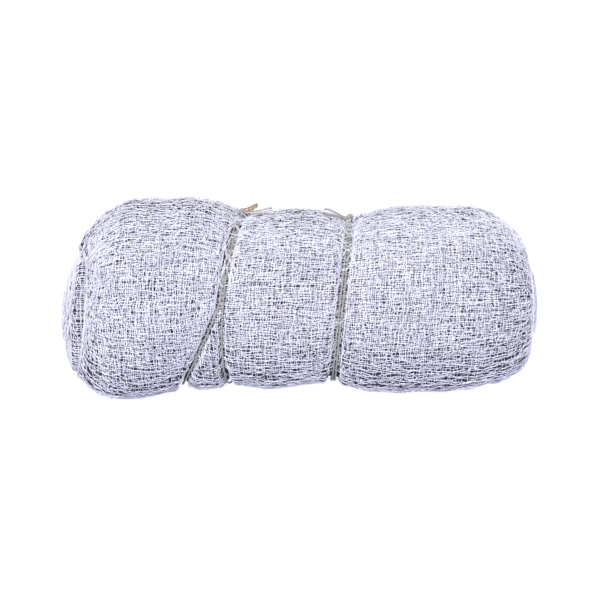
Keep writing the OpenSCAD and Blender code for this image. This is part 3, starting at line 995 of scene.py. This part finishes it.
net_layers = {"under": (0.0005, 1.5), "outer": (0.0016, 1.0)}
lobe_grids = {"left": (88, 236), "middle": (50, 268), "right": (86, 276)}
most_rows = 44
line_stray, line_reach, knot_stray = 0.22, 5, 0.17
lift_spread, lift_wave, wave_reach = 0.0004, 0.0006, 9
usual_heft, bold_heft, heft_spread, thin_edge = 0.2, 0.16, 0.14, 0.01
left_opening, right_opening = 0.06, 0.12
slack_all, slack_foot, slack_top, slack_rims = 0.065, 0.35, 0.2, 0.7
loose_all, loose_top, loose_rims = 0.045, 0.08, 0.5
more_at_foot = 0.1
least_height = 0.0009
for layer, (lift, coarseness) in net_layers.items():
    for lobe, (lobe_name, (full_rows, full_columns)) in enumerate(lobe_grids.items()):
        rng = np.random.default_rng(10 * lobe + 5 + (layer == "outer"))
        rows, columns = round(full_rows / coarseness), round(full_columns / coarseness)
        row, column = np.meshgrid(np.arange(rows + 1), np.arange(columns), indexing="ij")
        at_tie = (row == 0) & (lobe_name != "left") | (row == rows) & (lobe_name != "right")
        hoops = bunches(rng, rows + 1, columns)
        lengths = bunches(rng, columns, rows + 1)
        row_stray = line_stray * wander(rng, rows + 1, columns, line_reach)
        row_stray += drawn_together(hoops)
        row_stray += rng.normal(0, knot_stray, row.shape)
        column_stray = line_stray * wander(rng, columns, rows + 1, line_reach)
        column_stray = (column_stray + drawn_together(lengths)).T
        column_stray += rng.normal(0, knot_stray, row.shape)
        share = (row + row_stray * ~at_tie) / rows
        if lobe_name == "left":
            share = opened(share, left_opening)
        elif lobe_name == "right":
            share = 1 - opened(1 - share, right_opening)
        row_at = lobe + share
        threads = lengthwise_places(columns)
        turn_at = np.interp(column + column_stray, np.arange(-columns, 2 * columns), threads)
        turn_at += downward_drift(row_at, turn_at)
        lift_at = lift + rng.normal(0, lift_spread, row.shape)
        foot, top = stretched(turn_at)
        wave = wander(rng, columns, rows + 1, wave_reach).T
        lift_at += lift_wave * (foot + 0.5 * top) * wave
        lift_at += beside_ties(on_skin(row_at, turn_at, lift_at))
        points = on_skin(row_at, turn_at, lift_at)
        points[..., 2] = np.maximum(points[..., 2], least_height)
        heft = usual_heft + bold_heft * np.maximum(hoops, lengths.T)
        heft += rng.normal(0, heft_spread, row.shape)
        heft = np.clip(heft, 0, 1) * (row_at > thin_edge) * (row_at < 3 - thin_edge)
        foot *= 1 + more_at_foot * (lobe > 0)
        worn = at_rims(row_at, turn_at)
        slack = slack_all + slack_foot * foot + slack_top * top + slack_rims * worn
        loose = loose_all + loose_top * top + loose_rims * worn
        parts = math.ceil(rows / most_rows)
        cuts = np.linspace(0, rows, parts + 1).round().astype(int)
        for part, (first, last) in enumerate(zip(cuts[:-1], cuts[1:])):
            name = f"{lobe_name}_{layer}_netting_{part}"
            part_rows = slice(first, last + 1)
            net = knotted_net(
                name, points[part_rows], heft[part_rows], slack[part_rows], loose[part_rows],
            )
            hang_net(net, "outer")


def rim_line(end, turn, steps):
    """Places and normals on a rim: for steps up to 1 on its face, from the edge of the skin in
    to its mouth, and for steps up to 2 along the inside of the mouth."""
    lip_r = bore_r + net_depth + 0.001
    lip_depth, mouth_depth, cast_from = 0.003, 0.026, 0.1
    angle = 2 * math.pi * turn
    out = Vector((0, -math.cos(angle), math.sin(angle)))
    edge = Vector(on_skin(np.array(1.5 + 1.5 * end), np.array(turn), np.array(0.0)))
    axis = Vector((edge.x, 0, inner_axis))
    inward = Vector((-end, 0, 0))
    line = []
    for step in steps:
        if step <= 1:
            start, way = edge.lerp(axis + out * lip_r, step) - inward * cast_from, inward
        else:
            start, way = axis + inward * (lip_depth + (step - 1) * mouth_depth), out
        place, normal, _, _ = outer_tree.ray_cast(start, way)
        line.append([*place, *normal] if place else line[-1])
    return np.array(line)


rim_grids = {"under": (2, 6, 90), "outer": (3, 8, 120)}
face_from, face_spread, mouth_spread = 0.08, 0.06, 0.025
rim_heft, rim_missing = 0.3, 0.06
for end, end_name in ((-1, "left"), (1, "right")):
    for layer, (face_rows, mouth_rows, columns) in rim_grids.items():
        lift = net_layers[layer][0]
        rng = np.random.default_rng(50 + 2 * (end > 0) + (layer == "outer"))
        face = np.linspace(face_from, 1, face_rows + 1)
        even = np.append(face, np.linspace(1, 2, mouth_rows + 1)[1:])
        spread = np.where(even > 1, mouth_spread, face_spread)
        points = np.empty((len(even), columns, 3))
        for j in range(columns):
            turn = (j + 0.5 * (layer == "outer") + rng.normal(0, column_spread)) / columns
            steps = even + rng.normal(0, 1, len(even)) * spread
            line = rim_line(end, turn, np.clip(steps, 0, 2))
            points[:, j] = line[:, :3] + line[:, 3:] * lift
        points[..., 2] = np.maximum(points[..., 2], least_height)
        heft = rng.uniform(0, rim_heft, points.shape[:2]) * (even > face_from)[:, None]
        missing = np.full(heft.shape, rim_missing)
        net = knotted_net(f"{end_name}_rim_{layer}_netting", points, heft, missing, missing)
        hang_net(net, "outer")


# Crossing threads: where the ties sink in, loose threads of the netting are drawn across the
# twine from lobe to lobe, most of all on the upper front, where they hide much of it.
def turns_at(side, angle):
    """Where a tie's two turns lie at one angle round the roll, from left to right."""
    route = smooth_route(tie_routes[side], step=0.002)
    places = []
    for turn in (route[:len(route) // 2], route[len(route) // 2:]):
        around = np.arctan2(turn[:, 2] - roll_axis, -turn[:, 1])
        apart = np.abs((around - angle + math.pi) % (2 * math.pi) - math.pi)
        places.append(turn[apart.argmin()])
    return sorted(places, key=lambda place: place[0])


lobe_lengths = (0.19, 0.11, 0.20)
thread_d = 0.0006
thread_tries = 90
least_reach, most_reach, lean_spread = 0.008, 0.014, 0.026
clear_of_tail, clear_of_knot, widest_pair = 0.006, 0.009, 0.009
cover_at = (-180, -40, 20, 45, 115, 150, 180)
cover = (0.2, 0.1, 0.2, 1, 1, 0.4, 0.2)
for tie_number, tie_side in enumerate(("left", "right")):
    rng = np.random.default_rng(70 + tie_number)
    thread_parts = ([], [], [])
    for _ in range(thread_tries):
        angle = rng.uniform(-math.pi, math.pi)
        reach = rng.uniform(least_reach, most_reach, 2) * (-1, 1)
        reach /= lobe_lengths[tie_number:tie_number + 2]
        lean = rng.normal(0, lean_spread, 2)
        thickness = rng.uniform(0.8, 1.2) * thread_d
        kept = rng.random() < np.interp(math.degrees(angle), cover_at, cover)
        left_turn, right_turn = turns_at(tie_side, angle)
        crossing = Vector((left_turn + right_turn) / 2)
        near_tail = tail_tree.find(crossing)[2] < clear_of_tail
        near_knot = (crossing - knot_places[tie_side]).length < clear_of_knot
        if not kept or near_tail or near_knot or right_turn[0] - left_turn[0] > widest_pair:
            continue
        lift = np.full(2, net_layers["outer"][0])
        ends = on_skin(tie_number + 1 + reach, angle / (2 * math.pi) + lean, lift)
        out = np.array((0, -math.cos(angle), math.sin(angle)))
        over = out * (tight_twine_d + thickness) / 2
        across = [ends[0], left_turn + over, right_turn + over, ends[1]]
        route = smooth_route(across, step=0.0015)
        side, up = sides_along(route)
        add_tube(thread_parts, route, side, up, thickness / 2, sides=5)
    tube_piece(tie_side + "_crossing_threads", thread_parts, nylon_twine, "outer")


# Stage: a plain floor and a background that the camera sees white, and soft studio light
# from in front, with two weak, low fills from behind.
def seen_directly(owner):
    """1 for what the camera sees, straight or in a shine, and 0 for the light that falls."""
    rays = add_node(owner, "ShaderNodeLightPath", {}, {})
    seen = rays.outputs["Is Camera Ray"]
    for more in ("Is Glossy Ray", "Is Transmission Ray"):
        both = add_node(owner, "ShaderNodeMath", {"operation": "MAXIMUM"}, {
            0: seen, 1: rays.outputs[more],
        })
        seen = both.outputs["Value"]
    return seen


def floor_material():
    """Matt paper that throws a bluish light back at the bundle. What the camera sees of it is
    lifted to white, and it keeps the shadow of the bundle."""
    lift_to_white = 0.93
    material, shader = bare_material("white_paper")
    shader.inputs["Base Color"].default_value = srgb("#7078B0")
    shader.inputs["Roughness"].default_value = 0.9
    glow = add_node(material, "ShaderNodeMath", {"operation": "MULTIPLY"}, {
        0: seen_directly(material), 1: lift_to_white,
    })
    shader.inputs["Emission Color"].default_value = srgb("#FFFFFF")
    link(material, glow.outputs["Value"], shader, "Emission Strength")
    return material


bpy.ops.object.select_all(action="DESELECT")
bpy.ops.mesh.primitive_plane_add(size=30)
floor = bpy.context.object
floor.name = "floor"
floor.data.materials.append(floor_material())

world = bpy.data.worlds.new("studio")
world.use_nodes = True
white_seen = seen_directly(world)
sky_colour = add_node(world, "ShaderNodeMix", {"data_type": "RGBA"}, {
    0: white_seen, 6: srgb("#E9EDFF"), 7: srgb("#FFFFFF"),
})
sky_strength = add_node(world, "ShaderNodeMapRange", {}, {
    "Value": white_seen, "To Min": 0.33, "To Max": 1,
})
background = world.node_tree.nodes["Background"]
link(world, sky_colour.outputs[2], background, "Color")
link(world, sky_strength.outputs["Result"], background, "Strength")
bpy.context.scene.world = world


def softbox(name, place, size, power):
    """A square soft light, aimed at the middle of the bundle."""
    bpy.ops.object.light_add(type="AREA", location=place)
    lamp = bpy.context.object
    lamp.name = name
    aim = Vector((0, 0, 0.1)) - Vector(place)
    lamp.rotation_euler = aim.to_track_quat("-Z", "Y").to_euler()
    lamp.data.size = size
    lamp.data.energy = power


softbox("key_light", (-0.3, -2.6, 1.22), size=1.6, power=149)
softbox("left_fill", (-0.6, 2.6, 0.3), size=0.8, power=28)
softbox("right_fill", (1.7, 2.1, 0.35), size=0.8, power=48)

bpy.context.scene.view_settings.view_transform = "Standard"
